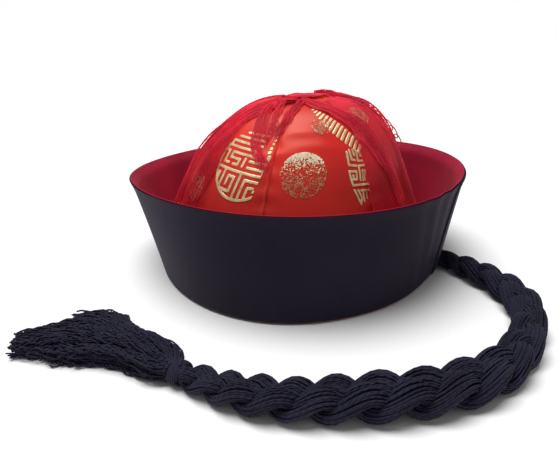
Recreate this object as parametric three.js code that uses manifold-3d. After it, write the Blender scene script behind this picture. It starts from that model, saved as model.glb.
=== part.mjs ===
// A mandarin hat with a flared cloth band, a gored satin crown and a plaited yarn queue.
// Millimetres, +Z up. The hat rests on its hem at z = 0, its back and the queue's root towards +X.
import * as THREE from 'three';
import { mergeVertices } from 'three/addons/utils/BufferGeometryUtils.js';
import Module from 'manifold-3d';

// Band
const BAND_RADIUS = 96;
const RIM_RADIUS = 106.2;
const BAND_SLANT = 60.4;
const BAND_CENTRE = [4.4, 1.9];
const RIM_CENTRE = [1.4, 3.5];
const BAND_CLOTH = 1.6;
const LINING_CLOTH = 1.2;
const LINING_RISE = 0.8;
const LINING_GAP = 0.55;
const BAND_STEPS = 72;
const BAND_LEVELS = 3;

// Waves that turn the two round outlines into the egg shapes of soft cloth
const OUTLINE_WAVES = [
  { turns: 2, bandCos: -0.0151, bandSin: 0.0196, rimCos: 0.0193, rimSin: -0.0218 },
  { turns: 3, bandCos: 0.0021, bandSin: 0.0323, rimCos: -0.0101, rimSin: 0.0322 },
];

// The band's lapped end
const LAP_ANGLE = -30;
const LAP_STEP = 0.8;
const LAP_FADE = 22;
const LAP_PULL = 5;
const LAP_CRISPNESS = 0.95;

// Crown
const CROWN_HEIGHT = 104;
const CROWN_CLOTH = 1.3;
const CROWN_INSET = 4;
const CROWN_SIDE_POWER = 2 / 3.309;
const CROWN_RISE_POWER = 2 / 0.892;
const CROWN_LEAN = [5.2, -6.4];
const CROWN_SLUMP = 0.065;
const CROWN_EASE = 1.6;
const CROWN_END = 0.998;
const CROWN_ROWS = 12;
const GORE_COLUMNS = 6;
const GORE_PUFF = 1.6;
const PUFF_FLATNESS = 6;
const PUFF_END = 0.9;
const FRONT_SEAMS = [-106, -56];
const GORE_COUNT = 6;
const HEM_HEIGHT = 0.7;
const HEM_ROWS = 3;
const HEM_OUTER_ROWS = 2;
const GAP = 0.32;

// Net tassel: its bunches, by where each leaves the knot, bends and ends, and stands off the satin
const KNOT_RADIUS = 11;
const KNOT_RISE = 0.985;
const KNOT_HEIGHT = 2.6;
const NET_LIFT = 0.8;
const NET_STEPS = 10;
const NET_COLUMNS = 3;
const NET_DROP_EASE = 0.9;
const NET_KNOT_WIDTH = 0.35;
const NET_TIP_TAPER = 0.5;
const NET_EDGE_THINNING = 0.7;
const NET_TIP_THINNING = 0.45;
const NET_BUNCHES = [
  { start: -125, bend: -149, end: -160, endRise: 0.46, width: 26, thick: 3, stand: 6 },
  { start: -118, bend: -127, end: -109, endRise: 0.62, width: 9, thick: 2.6, stand: 0.5 },
  { start: -99, bend: -107, end: -109, endRise: 0.7, width: 5, thick: 2.4, stand: 0 },
  { start: -80, bend: -49, end: -33, endRise: 0.47, width: 15, thick: 3.4, stand: 1 },
  { start: -30, bend: -27, end: -12, endRise: 0.5, width: 19, thick: 5, stand: 6 },
  { start: 20, bend: 28, end: 24, endRise: 0.5, width: 16, thick: 3.5, stand: 3 },
  { start: 62, bend: 70, end: 78, endRise: 0.46, width: 14, thick: 3, stand: 2 },
  { start: 104, bend: 112, end: 108, endRise: 0.52, width: 18, thick: 3, stand: 2 },
  { start: 150, bend: 158, end: 165, endRise: 0.48, width: 16, thick: 3, stand: 2 },
];

// Queue: its route over the table, from the hat to the tassel's tip
const BRAID_ROUTE = [
  [93.5, -30.5], [97.7, -33.6], [101.6, -40.5], [106.1, -49.9], [111, -59.7], [114.8, -71.2], [116.6, -84.8],
  [115.4, -98.6], [110.6, -113.3], [102.3, -127.7], [92.6, -139.9], [81.7, -149.2], [70.6, -155.2], [58.8, -160],
  [45.6, -162.7], [32.3, -164.1], [19, -164.8], [7, -164.9], [-4.9, -163.7], [-17.2, -160.6], [-29.7, -154.9],
  [-38.8, -149.7], [-46.7, -145.6], [-55.3, -140.4], [-66.5, -134], [-79.5, -127.5], [-92, -122.6],
  [-105, -120], [-118, -120.8], [-136, -122.8],
];
const BRAID_SECTIONS = [
  { along: 0, width: 12.5, thick: 10, lobe: 14 },
  { along: 30, width: 16.5, thick: 12, lobe: 16.5 },
  { along: 60, width: 17.5, thick: 13.5, lobe: 18.5 },
  { along: 85, width: 16.5, thick: 14, lobe: 19 },
  { along: 115, width: 17.5, thick: 15, lobe: 19 },
  { along: 150, width: 20.5, thick: 16, lobe: 19 },
  { along: 185, width: 22, thick: 16, lobe: 18.2 },
  { along: 228, width: 19, thick: 14, lobe: 15 },
  { along: 270, width: 13.5, thick: 10.5, lobe: 13 },
];
const PLAIT_LENGTH = 270;
const BRAID_STRANDS = 3;
const BRAID_START_TURN = 0.15;
const STRAND_SIDES = 7;
const STEPS_PER_TURN = 13;
const STRAND_SWING = 0.34;
const STRAND_HALF_WIDTH = 0.13;
const STRAND_WEAVE = 0.272;
const STRAND_HALF_THICK = 0.19;
const FLOOR_CLEARANCE = 0.2;
const TIE_BELLY = 0.5;
const TIE_LENGTH = 7;
const TIE_WIDTH = 12.5;
const TIE_THICK = 10.5;
const TASSEL_HEAD = 12;
const HEAD_FLARE = [0.8, 1.4];
const HEAD_FLATNESS = 0.9;

// The queue's loose end: locks by their sideways and upward spread at the tip, their reach and size
const TASSEL_LOCKS = [
  { side: -24, lift: 2, reach: 0.68, width: 13, thick: 9 },
  { side: -16, lift: 3, reach: 0.88, width: 13, thick: 10 },
  { side: -7, lift: 3, reach: 1, width: 13, thick: 10 },
  { side: 3, lift: 2, reach: 0.97, width: 12, thick: 9 },
  { side: 13, lift: 0, reach: 0.82, width: 11, thick: 8 },
];
const LOCK_STEPS = 10;
const LOCK_SIDES = 6;
const LOCK_WAVES = 1.5;
const LOCK_SWAY = 1.2;
const LOCK_GATHER = 0.3;
const LOCK_FAN = 2;
const LOCK_ROOT = 0.6;
const LOCK_TIP = 0.75;
const LOCK_SETTLE = 0.33;

const wasm = await Module();
wasm.setup();

const { lerp, degToRad } = THREE.MathUtils;
const fullTurn = Math.PI * 2;

// Merges a closed shape's shared corners and turns its faces outwards
function closedShape(geometry) {
  geometry.deleteAttribute('normal');
  geometry.deleteAttribute('uv');
  const merged = mergeVertices(geometry, 1e-4);
  const corners = merged.attributes.position;
  const index = merged.index;
  const [a, b, c] = [new THREE.Vector3(), new THREE.Vector3(), new THREE.Vector3()];
  let volume = 0;
  for (let i = 0; i < index.count; i += 3) {
    a.fromBufferAttribute(corners, index.getX(i));
    b.fromBufferAttribute(corners, index.getX(i + 1));
    c.fromBufferAttribute(corners, index.getX(i + 2));
    volume += a.dot(b.cross(c));
  }
  if (volume < 0) {
    for (let i = 0; i < index.count; i += 3) {
      const first = index.getX(i);
      index.setX(i, index.getX(i + 1));
      index.setX(i + 1, first);
    }
  }
  merged.computeVertexNormals();
  return merged;
}

// Moves every corner of a stock geometry to where the given function places it
function mapped(geometry, place) {
  const corners = geometry.attributes.position;
  const corner = new THREE.Vector3();
  for (let i = 0; i < corners.count; i += 1) {
    corner.fromBufferAttribute(corners, i);
    const point = place(corner);
    corners.setXYZ(i, point.x, point.y, point.z);
  }
  return closedShape(geometry);
}

function toSolid(geometry) {
  const vertProperties = Float32Array.from(geometry.attributes.position.array);
  const triVerts = Uint32Array.from(geometry.index.array);
  return new wasm.Manifold(new wasm.Mesh({ numProp: 3, vertProperties, triVerts }));
}

function fromSolid(solid) {
  const { vertProperties, triVerts } = solid.getMesh();
  const geometry = new THREE.BufferGeometry();
  geometry.setAttribute('position', new THREE.BufferAttribute(vertProperties, 3));
  geometry.setIndex(new THREE.BufferAttribute(triVerts, 1));
  geometry.computeVertexNormals();
  return geometry;
}

function joined(geometries) {
  const solids = geometries.map(toSolid);
  return fromSolid(solids.reduce((whole, next) => whole.add(next)));
}

function cloth(color, roughness) {
  return new THREE.MeshStandardMaterial({ color, roughness, metalness: 0 });
}

const bandCloth = cloth(0x231f2b, 0.85);
const liningCloth = cloth(0x7a1a29, 0.8);
const satin = cloth(0xb53634, 0.45);
const net = cloth(0xaf2433, 0.7);
const yarn = cloth(0x24222f, 0.9);

const hat = new THREE.Group();

function addPiece(name, geometry, material) {
  const piece = new THREE.Mesh(geometry, material);
  piece.name = name;
  hat.add(piece);
}

// Distance from the centre to the band's bottom edge, or to its rim, at an angle in radians
function outlineRadius(radius, cosKey, sinKey, angle) {
  let stretch = 1;
  for (const wave of OUTLINE_WAVES) {
    stretch += wave[cosKey] * Math.cos(wave.turns * angle);
    stretch += wave[sinKey] * Math.sin(wave.turns * angle);
  }
  return radius * stretch;
}

const edgeRadius = (angle) => outlineRadius(BAND_RADIUS, 'bandCos', 'bandSin', angle);
const rimRadius = (angle) => outlineRadius(RIM_RADIUS, 'rimCos', 'rimSin', angle);

// A point of the band: level 0 is the bottom edge and 1 the rim, depth is measured inwards
function bandPoint(angle, level, depth) {
  const [dirX, dirY] = [Math.cos(angle), Math.sin(angle)];
  const [edge, rim] = [edgeRadius(angle), rimRadius(angle)];
  const flareX = RIM_CENTRE[0] - BAND_CENTRE[0] + (rim - edge) * dirX;
  const flareY = RIM_CENTRE[1] - BAND_CENTRE[1] + (rim - edge) * dirY;
  const height = Math.sqrt(BAND_SLANT ** 2 - flareX ** 2 - flareY ** 2);
  return new THREE.Vector3(
    BAND_CENTRE[0] + (edge - depth) * dirX + flareX * level,
    BAND_CENTRE[1] + (edge - depth) * dirY + flareY * level,
    height * level,
  );
}

// Extra thickness where the band's end laps over its beginning
function lapThickness(angle) {
  const past = THREE.MathUtils.euclideanModulo(angle * THREE.MathUtils.RAD2DEG - LAP_ANGLE, 360);
  return LAP_STEP * Math.max(0, 1 - past / LAP_FADE);
}

// Draws the nearest steps of the band together at the lap, so that its edge is crisp
function pulledToLap(angle) {
  const past = THREE.MathUtils.euclideanModulo(angle * THREE.MathUtils.RAD2DEG - LAP_ANGLE + 180, 360) - 180;
  const pull = 1 - LAP_CRISPNESS * Math.exp(-((past / LAP_PULL) ** 4));
  return degToRad(LAP_ANGLE + past * pull);
}

// A closed wall round the hat, revolved from a strip whose layers and levels the band's shape takes over
function bandWall(outerDepth, innerDepth, bottomLevel, topLevel, outerExtra) {
  const [outer, inner] = [2, 1];
  const profile = [];
  for (let i = 0; i <= BAND_LEVELS; i += 1) {
    profile.push(new THREE.Vector2(outer, i / BAND_LEVELS));
  }
  for (let i = BAND_LEVELS; i >= 0; i -= 1) {
    profile.push(new THREE.Vector2(inner, i / BAND_LEVELS));
  }
  profile.push(profile[0].clone());
  const halfStep = Math.PI / BAND_STEPS;
  const startAngle = degToRad(LAP_ANGLE) + halfStep;
  return mapped(new THREE.LatheGeometry(profile, BAND_STEPS, startAngle), (corner) => {
    const angle = pulledToLap(Math.atan2(corner.x, corner.z));
    const layer = Math.hypot(corner.x, corner.z) - inner;
    const depth = lerp(innerDepth, outerDepth - outerExtra(angle), layer);
    return bandPoint(angle, lerp(bottomLevel, topLevel, corner.y), depth);
  });
}

function buildBand() {
  const hemLevel = (HEM_HEIGHT + GAP) / BAND_SLANT;
  const liningDepth = BAND_CLOTH + LINING_GAP;
  const shell = bandWall(0, BAND_CLOTH, hemLevel, 1, lapThickness);
  addPiece('brim_shell', shell, bandCloth);
  const liningTop = 1 + LINING_RISE / BAND_SLANT;
  const lining = bandWall(liningDepth, liningDepth + LINING_CLOTH, hemLevel, liningTop, () => 0);
  addPiece('brim_lining', lining, liningCloth);
}

// Seam angles in degrees: the two front ones, and the rest evenly round the back
function seamAngles() {
  const [first, second] = FRONT_SEAMS;
  const backStep = (360 - (second - first)) / (GORE_COUNT - 1);
  const angles = [first];
  for (let i = 0; i < GORE_COUNT; i += 1) {
    angles.push(second + i * backStep);
  }
  return angles;
}

const seams = seamAngles();

// How far across its gore an angle lies, from 0 at one seam to 1 at the next
function goreFraction(angle) {
  const turned = seams[0] + THREE.MathUtils.euclideanModulo(angle * THREE.MathUtils.RAD2DEG - seams[0], 360);
  const gore = seams.findIndex((seam, i) => i < GORE_COUNT && turned < seams[i + 1]);
  const first = Math.max(gore, 0);
  return (turned - seams[first]) / (seams[first + 1] - seams[first]);
}

// The dome's radius at an angle and a rise from 0 at the hem to 1 at the top, before the puff
function crownRadius(angle, rise, height) {
  const sweep = rise * Math.PI / 2;
  const side = Math.cos(sweep) ** CROWN_SIDE_POWER;
  const base = lerp(edgeRadius(angle), BAND_RADIUS, height) - CROWN_INSET;
  const slump = 1 - CROWN_SLUMP * 4 * height * (1 - height) * Math.cos(angle);
  return base * side * slump;
}

// A point of the crown, its offset measured outwards from the satin's sewn line
function crownPoint(angle, rise, offset, puffed = true) {
  const sweep = rise * Math.PI / 2;
  const height = Math.sin(sweep) ** CROWN_RISE_POWER;
  const across = Math.abs(2 * goreFraction(angle) - 1);
  const sewnIn = GORE_PUFF * across ** PUFF_FLATNESS * Math.sin(Math.PI * rise * PUFF_END);
  const puff = puffed ? -sewnIn : 0;
  const slope = height ** 3;
  const out = offset + puff;
  const radius = crownRadius(angle, rise, height) + out * (1 - slope);
  return new THREE.Vector3(
    BAND_CENTRE[0] + CROWN_LEAN[0] * height ** 2 + radius * Math.cos(angle),
    BAND_CENTRE[1] + CROWN_LEAN[1] * height ** 2 + radius * Math.sin(angle),
    CROWN_HEIGHT * height + out * slope,
  );
}

// One satin panel: a curved wall between two seams, its turned hem reaching out under the band's edge
function gore(firstSeam, lastSeam) {
  const rows = CROWN_ROWS + HEM_ROWS;
  const plate = new THREE.BoxGeometry(1, 1, 1, GORE_COLUMNS, rows, 1);
  return mapped(plate, (corner) => {
    const row = Math.round((corner.y + 0.5) * rows);
    const outside = corner.z > 0;
    const climb = Math.max(0, row - HEM_ROWS) / CROWN_ROWS;
    const rise = CROWN_END * (1 - (1 - climb) ** CROWN_EASE);
    const middle = degToRad((firstSeam + lastSeam) / 2);
    const radius = Math.max(crownRadius(middle, rise, 0), 1);
    const seamGap = THREE.MathUtils.radToDeg(GAP / 2 / radius);
    const angle = degToRad(lerp(firstSeam + seamGap, lastSeam - seamGap, corner.x + 0.5));
    if (row < HEM_ROWS) {
      const depth = outside && row < HEM_OUTER_ROWS ? 0 : CROWN_INSET + (outside ? 0 : CROWN_CLOTH);
      const point = bandPoint(angle, 0, depth);
      point.z = row === 0 ? 0 : HEM_HEIGHT;
      return point;
    }
    const point = crownPoint(angle, rise, outside ? 0 : -CROWN_CLOTH);
    point.z = Math.max(point.z, HEM_HEIGHT + GAP);
    return point;
  });
}

function buildCrown() {
  for (let i = 0; i < GORE_COUNT; i += 1) {
    addPiece(`crown_gore_${i + 1}`, gore(seams[i], seams[i + 1]), satin);
  }
}

// One bunch of gathered net: a low ridge that follows the dome from the knot down
function netBunch(bunch) {
  const strip = new THREE.BoxGeometry(1, 1, 1, NET_COLUMNS, NET_STEPS, 1);
  return mapped(strip, (corner) => {
    const along = 0.5 - corner.y;
    const across = corner.x * 2;
    const rise = lerp(KNOT_RISE, bunch.endRise, along ** NET_DROP_EASE);
    const path = lerp(lerp(bunch.start, bunch.bend, along), lerp(bunch.bend, bunch.end, along), along);
    const height = Math.sin(rise * Math.PI / 2) ** CROWN_RISE_POWER;
    const radius = crownRadius(degToRad(path), rise, height);
    const spread = bunch.width * lerp(NET_KNOT_WIDTH, 1, along) * (1 - NET_TIP_TAPER * along ** 6);
    const angle = degToRad(path) + across * spread / 2 / radius;
    const ridge = bunch.thick * (1 - NET_EDGE_THINNING * across ** 2) * (1 - NET_TIP_THINNING * along);
    const lift = NET_LIFT + bunch.stand * along ** 2;
    return crownPoint(angle, rise, lift + (corner.z > 0 ? ridge : 0));
  });
}

// The knot: a low button of gathered net on the crown's top
function netKnot() {
  const button = new THREE.SphereGeometry(1, 14, 8);
  const top = crownPoint(0, 1, 0, false);
  return mapped(button, (corner) => new THREE.Vector3(
    top.x + corner.x * KNOT_RADIUS,
    top.y + corner.z * KNOT_RADIUS,
    CROWN_HEIGHT + NET_LIFT + (corner.y + 1) / 2 * KNOT_HEIGHT,
  ));
}

function buildNetTassel() {
  const bunches = NET_BUNCHES.map(netBunch);
  addPiece('crown_tassel', joined([netKnot(), ...bunches]), net);
}

const braidCurve = new THREE.CatmullRomCurve3(
  BRAID_ROUTE.map(([x, y]) => new THREE.Vector3(x, y, 0)),
  false,
  'centripetal',
);
braidCurve.arcLengthDivisions = 800;
const braidLength = braidCurve.getLength();

// Width, thickness and lobe length of the plait at a distance from its root
function braidSection(along) {
  const next = BRAID_SECTIONS.findIndex((section) => section.along >= along);
  const to = BRAID_SECTIONS[next < 0 ? BRAID_SECTIONS.length - 1 : Math.max(next, 1)];
  const from = BRAID_SECTIONS[BRAID_SECTIONS.indexOf(to) - 1];
  const part = Math.min((along - from.along) / (to.along - from.along), 1);
  const ease = (1 - Math.cos(Math.PI * part)) / 2;
  return {
    width: lerp(from.width, to.width, ease),
    thick: lerp(from.thick, to.thick, ease),
    lobe: lerp(from.lobe, to.lobe, ease),
  };
}

// A point beside the queue's middle line: along it, to its left, and above the table
function besideBraid(along, side, height) {
  const u = THREE.MathUtils.clamp(along / braidLength, 0, 1);
  const point = braidCurve.getPointAt(u);
  const heading = braidCurve.getTangentAt(u);
  return new THREE.Vector3(point.x - heading.y * side, point.y + heading.x * side, height);
}

// Where the plait's sections lie: closer together where its lobes are short
function plaitStations() {
  const stations = [0];
  let along = 0;
  while (along < PLAIT_LENGTH) {
    along += braidSection(along).lobe * BRAID_STRANDS / STEPS_PER_TURN;
    stations.push(along);
  }
  return stations.map((station) => station * PLAIT_LENGTH / along);
}

const stations = plaitStations();
const lastStation = stations.length - 1;

function strandCentre(strand, step) {
  const along = stations[step];
  const { width, thick } = braidSection(along);
  const phase = fullTurn * (BRAID_START_TURN + step / STEPS_PER_TURN + strand / BRAID_STRANDS);
  const side = width * STRAND_SWING * Math.sin(phase);
  const height = thick / 2 + FLOOR_CLEARANCE + thick * STRAND_WEAVE * Math.sin(2 * phase);
  return besideBraid(along, side, height);
}

// One strand of the plait: it swings from side to side and passes over and under the other two
function braidStrand(strand) {
  const centres = [];
  for (let step = 0; step <= lastStation; step += 1) {
    centres.push(strandCentre(strand, step));
  }
  const tube = new THREE.CylinderGeometry(1, 1, 1, STRAND_SIDES, lastStation);
  return mapped(tube, (corner) => {
    const step = Math.round((corner.y + 0.5) * lastStation);
    const { width, thick } = braidSection(stations[step]);
    const before = centres[Math.max(step - 1, 0)];
    const after = centres[Math.min(step + 1, lastStation)];
    const heading = after.clone().sub(before).setZ(0).normalize();
    const isEnd = step === 0 || step === lastStation;
    const square = besideBraid(stations[step], 1, 0).sub(besideBraid(stations[step], 0, 0));
    const left = isEnd ? square : new THREE.Vector3(-heading.y, heading.x, 0);
    return centres[step].clone()
      .addScaledVector(left, corner.x * width * STRAND_HALF_WIDTH)
      .add(new THREE.Vector3(0, 0, corner.z * thick * STRAND_HALF_THICK));
  });
}

// The yarn binding that closes the plait
function braidTie() {
  const drum = new THREE.CylinderGeometry(1, 1, 1, 12, 4);
  const start = PLAIT_LENGTH + GAP;
  return mapped(drum, (corner) => {
    const along = start + (corner.y + 0.5) * TIE_LENGTH;
    const belly = 1 - TIE_BELLY * corner.y ** 2;
    const side = corner.x * TIE_WIDTH / 2 * belly;
    return besideBraid(along, side, FLOOR_CLEARANCE + TIE_THICK / 2 * (1 + corner.z * belly));
  });
}

// One lock of loose yarn, fanning out of the tassel's head and tapering to its tip
function tasselLock(lock, index) {
  const start = PLAIT_LENGTH + TIE_LENGTH + 2 * GAP;
  const reach = (braidLength - start) * lock.reach;
  const tube = new THREE.CylinderGeometry(1, 1, 1, LOCK_SIDES, LOCK_STEPS);
  return mapped(tube, (corner) => {
    const t = corner.y + 0.5;
    const reached = t * lock.reach;
    const spread = (1 - (1 - reached) ** LOCK_FAN) * (1 - LOCK_GATHER * reached ** 2);
    const sway = LOCK_SWAY * spread * Math.sin(fullTurn * LOCK_WAVES * t + index);
    const taper = Math.min(1, LOCK_ROOT + 2 * t) * Math.sqrt(1 - LOCK_TIP * t ** 4);
    const thick = lock.thick * taper / 2;
    const side = lock.side * spread + sway + corner.x * lock.width / 2 * taper;
    const rest = lerp(TIE_THICK / 2, thick, Math.min(1, t / LOCK_SETTLE));
    const height = FLOOR_CLEARANCE + rest + lock.lift * spread + corner.z * thick;
    return besideBraid(start + reach * t, side, height);
  });
}

function tasselHead() {
  const start = PLAIT_LENGTH + TIE_LENGTH + 2 * GAP;
  const cone = new THREE.CylinderGeometry(1, 1, 1, 12, 3);
  return mapped(cone, (corner) => {
    const t = corner.y + 0.5;
    const side = corner.x * TIE_WIDTH / 2 * lerp(HEAD_FLARE[0], HEAD_FLARE[1], t);
    const height = FLOOR_CLEARANCE + TIE_THICK / 2 * (1 + HEAD_FLATNESS * corner.z);
    return besideBraid(start + t * TASSEL_HEAD, side, height);
  });
}

function buildBraid() {
  for (let strand = 0; strand < BRAID_STRANDS; strand += 1) {
    addPiece(`braid_strand_${strand + 1}`, braidStrand(strand), yarn);
  }
  addPiece('braid_tie', braidTie(), yarn);
  const locks = TASSEL_LOCKS.map(tasselLock);
  addPiece('braid_tassel', joined([tasselHead(), ...locks]), yarn);
}

buildBand();
buildCrown();
buildNetTassel();
buildBraid();

export default hat;
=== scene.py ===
import math
import random

import bpy
import numpy as np
from mathutils import Matrix, Vector, noise


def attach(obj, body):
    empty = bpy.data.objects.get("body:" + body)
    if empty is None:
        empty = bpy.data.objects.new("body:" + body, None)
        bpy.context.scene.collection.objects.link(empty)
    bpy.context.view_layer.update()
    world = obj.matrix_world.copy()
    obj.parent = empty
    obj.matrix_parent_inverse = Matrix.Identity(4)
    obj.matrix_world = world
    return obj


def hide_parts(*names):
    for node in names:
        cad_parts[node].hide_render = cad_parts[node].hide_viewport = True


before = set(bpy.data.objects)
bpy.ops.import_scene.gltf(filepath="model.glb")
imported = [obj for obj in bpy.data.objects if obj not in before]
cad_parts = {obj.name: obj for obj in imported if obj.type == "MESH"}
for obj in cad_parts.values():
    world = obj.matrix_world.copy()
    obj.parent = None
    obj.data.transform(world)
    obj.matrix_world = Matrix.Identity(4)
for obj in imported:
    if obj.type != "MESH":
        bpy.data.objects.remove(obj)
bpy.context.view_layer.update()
scene = bpy.context.scene

# Camera
# It stands in front of the hat, a little above the rim and leaning by two degrees, as the photograph was
# taken. Its focal length is 500 pixels of the photograph's 558.
PHOTO_WIDTH = 558
FOCAL_PIXELS = 500
SENSOR = 36
NEAREST_SEEN = 0.01
EYE = Vector((0.0044, -0.3219, 0.1343))
SIGHT = Vector((-0.04327, 0.93767, -0.34481))
CAMERA_UP = Vector((0.02302, 0.34598, 0.93796))

lens = bpy.data.cameras.new("photo_camera")
lens.sensor_width = SENSOR
lens.lens = FOCAL_PIXELS / PHOTO_WIDTH * SENSOR
lens.clip_start = NEAREST_SEEN
camera = bpy.data.objects.new("photo_camera", lens)
camera.matrix_world = Matrix((SIGHT.cross(CAMERA_UP), CAMERA_UP, -SIGHT)).transposed().to_4x4()
camera.matrix_world.translation = EYE
scene.collection.objects.link(camera)
scene.camera = camera
scene.view_settings.view_transform = "Standard"

# The queue's plait
# Three thick strands of soft black yarn, each a bundle of plied yarns round a core, plaited flat and sewn to
# the outside of the band. It lies on the table in one loose bend, thickest in the middle of its length.
ROUTE = [
    (0.0935, -0.0305), (0.0977, -0.0336), (0.1016, -0.0405), (0.1061, -0.0499), (0.1110, -0.0597),
    (0.1148, -0.0712), (0.1166, -0.0848), (0.1154, -0.0986), (0.1106, -0.1133), (0.1023, -0.1277),
    (0.0926, -0.1399), (0.0817, -0.1492), (0.0706, -0.1552), (0.0588, -0.1600), (0.0456, -0.1627),
    (0.0323, -0.1641), (0.019, -0.1648), (0.007, -0.1649), (-0.0049, -0.1637), (-0.0172, -0.1606),
    (-0.0297, -0.1549), (-0.0388, -0.1497), (-0.0467, -0.1456), (-0.0553, -0.1404), (-0.0665, -0.134),
    (-0.0795, -0.1275), (-0.092, -0.1226), (-0.105, -0.12), (-0.118, -0.1208), (-0.136, -0.1228),
]
# Distance from the root, width, thickness and length of one lobe of the plait
PLAIT_SECTIONS = np.array([
    (0, 0.0135, 0.010, 0.014), (0.030, 0.0168, 0.012, 0.0165), (0.060, 0.0175, 0.0135, 0.0185),
    (0.085, 0.0155, 0.014, 0.019), (0.115, 0.0172, 0.0145, 0.019), (0.150, 0.0202, 0.0155, 0.019),
    (0.185, 0.0216, 0.0155, 0.0182), (0.228, 0.0187, 0.0138, 0.015), (0.270, 0.0135, 0.0105, 0.013),
])
PLAIT_LENGTH = 0.270
STRANDS = 3
START_TURN = 0.115
STEPS_PER_TURN = 13
SWING = 0.2
WEAVE = 0.24
STRAND_HALF_WIDTH = 0.3
STRAND_HALF_THICK = 0.255
STRAND_STEP = 0.0012
HEADING_STEP = 0.0004
FLOOR_CLEARANCE = 0.0002
YARNS_PER_STRAND = 34
YARN_RADIUS = 0.00044
YARN_STEP = 0.002
YARN_TWIST = 9
YARN_WANDER = 0.3
YARN_DEPTH = 0.14
WANDER_RATE = 55
DEPTH_RATE = 70
GIRTH_RANGE = (0.85, 1.15)
YARN_SIDES = 5
PLY_PITCH = 0.003
CORE_SHARE = 0.88
ROOT_LENGTH = 0.005
ROOT_CLEARANCE = 0.000528
HAIR_GAP = 0.0004
YARN_BLACK = (0.0148, 0.0134, 0.0300, 1)


def centripetal_line(points, steps=24):
    """A smooth line through the points, and the distance along it at each of its own points."""
    points = [np.array(p, float) for p in points]
    points = [2 * points[0] - points[1], *points, 2 * points[-1] - points[-2]]
    line = []
    for p0, p1, p2, p3 in zip(points, points[1:], points[2:], points[3:]):
        d0, d1, d2 = (math.sqrt(np.linalg.norm(b - a)) for a, b in ((p0, p1), (p1, p2), (p2, p3)))
        start = ((p1 - p0) / d0 - (p2 - p0) / (d0 + d1) + (p2 - p1) / d1) * d1
        end = ((p2 - p1) / d1 - (p3 - p1) / (d1 + d2) + (p3 - p2) / d2) * d1
        for t in np.linspace(0, 1, steps, endpoint=False):
            square = -3 * p1 + 3 * p2 - 2 * start - end
            cube = 2 * p1 - 2 * p2 + start + end
            line.append(p1 + start * t + square * t * t + cube * t ** 3)
    line.append(points[-2])
    line = np.array(line)
    reach = np.concatenate(([0], np.cumsum(np.linalg.norm(np.diff(line, axis=0), axis=1))))
    return line, reach


def on_line(line, reach, at):
    """The place on a line at a distance along it."""
    return [np.interp(at, reach, values) for values in line.T]


def wobble(x, y, z):
    """Smooth noise from about -1 to 1 at a place."""
    return noise.noise(Vector((x, y, z)))


def soft_step(share):
    """A step from 0 to 1 that is level at both ends."""
    share = min(1, max(0, share))
    return share * share * (3 - 2 * share)


queue_line, queue_reach = centripetal_line(ROUTE)
queue_length = queue_reach[-1]


def beside_queue(along, side, height):
    """A point beside the queue's middle line: along it, to its left, and above the table."""
    along = min(max(along, 0), queue_length)
    x, y = on_line(queue_line, queue_reach, along)
    near = on_line(queue_line, queue_reach, max(along - HEADING_STEP, 0))
    far = on_line(queue_line, queue_reach, min(along + HEADING_STEP, queue_length))
    dx, dy = far[0] - near[0], far[1] - near[1]
    size = math.hypot(dx, dy)
    return Vector((x - dy / size * side, y + dx / size * side, height))


def plait_section(along):
    """Width, thickness and lobe length of the plait at a distance from its root."""
    after = min(max(int(np.searchsorted(PLAIT_SECTIONS[:, 0], along)), 1), len(PLAIT_SECTIONS) - 1)
    low, high = PLAIT_SECTIONS[after - 1], PLAIT_SECTIONS[after]
    part = min((along - low[0]) / (high[0] - low[0]), 1)
    return low[1:] + (high[1:] - low[1:]) * (1 - math.cos(math.pi * part)) / 2


stations = [0]
while stations[-1] < PLAIT_LENGTH:
    stations.append(stations[-1] + plait_section(stations[-1])[2] * STRANDS / STEPS_PER_TURN)
stations = np.array(stations) * PLAIT_LENGTH / stations[-1]


def strand_centre(strand, along):
    width, thick, _ = plait_section(along)
    turns = np.interp(along, stations, np.arange(len(stations))) / STEPS_PER_TURN
    phase = math.tau * (START_TURN + turns + strand / STRANDS)
    height = FLOOR_CLEARANCE + thick * (0.5 + WEAVE * math.sin(2 * phase))
    return beside_queue(along, width * SWING * math.sin(phase), height)


def add_node(tree, kind, inputs=(), **settings):
    """A new node: its settings, then its inputs, each a value or another node's output socket."""
    made = tree.nodes.new(kind)
    for name, value in settings.items():
        setattr(made, name, value)
    for key, value in dict(inputs).items():
        if isinstance(value, bpy.types.NodeSocket):
            tree.links.new(value, made.inputs[key])
        else:
            made.inputs[key].default_value = value
    return made


def reckon(tree, operation, *values):
    """The result of a math node on values or other nodes' output sockets."""
    return add_node(tree, "ShaderNodeMath", dict(enumerate(values)), operation=operation).outputs[0]


def noise_texture(tree, place, scale, detail):
    inputs = {"Vector": place, "Scale": scale, "Detail": detail}
    return add_node(tree, "ShaderNodeTexNoise", inputs).outputs[0]


def object_place(tree):
    return add_node(tree, "ShaderNodeTexCoord").outputs["Object"]


def toned(colour, amount):
    return [channel * amount for channel in colour[:3]] + [1]


def cloudy(tree, scale, detail, low, high):
    """A colour that drifts in soft patches between two stops, each a position and a colour."""
    patches = noise_texture(tree, object_place(tree), scale, detail)
    ramp = add_node(tree, "ShaderNodeValToRGB", {"Fac": patches})
    for element, (position, tone) in zip(ramp.color_ramp.elements, (low, high)):
        element.position, element.color = position, tone
    return ramp.outputs[0]


def dress(tree, shader, height, strength, distance, colour):
    """Gives a shader its fine relief and its colour."""
    bump = add_node(tree, "ShaderNodeBump", {"Height": height, "Strength": strength, "Distance": distance})
    tree.links.new(bump.outputs[0], shader.inputs["Normal"])
    tree.links.new(colour, shader.inputs["Base Color"])


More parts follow.
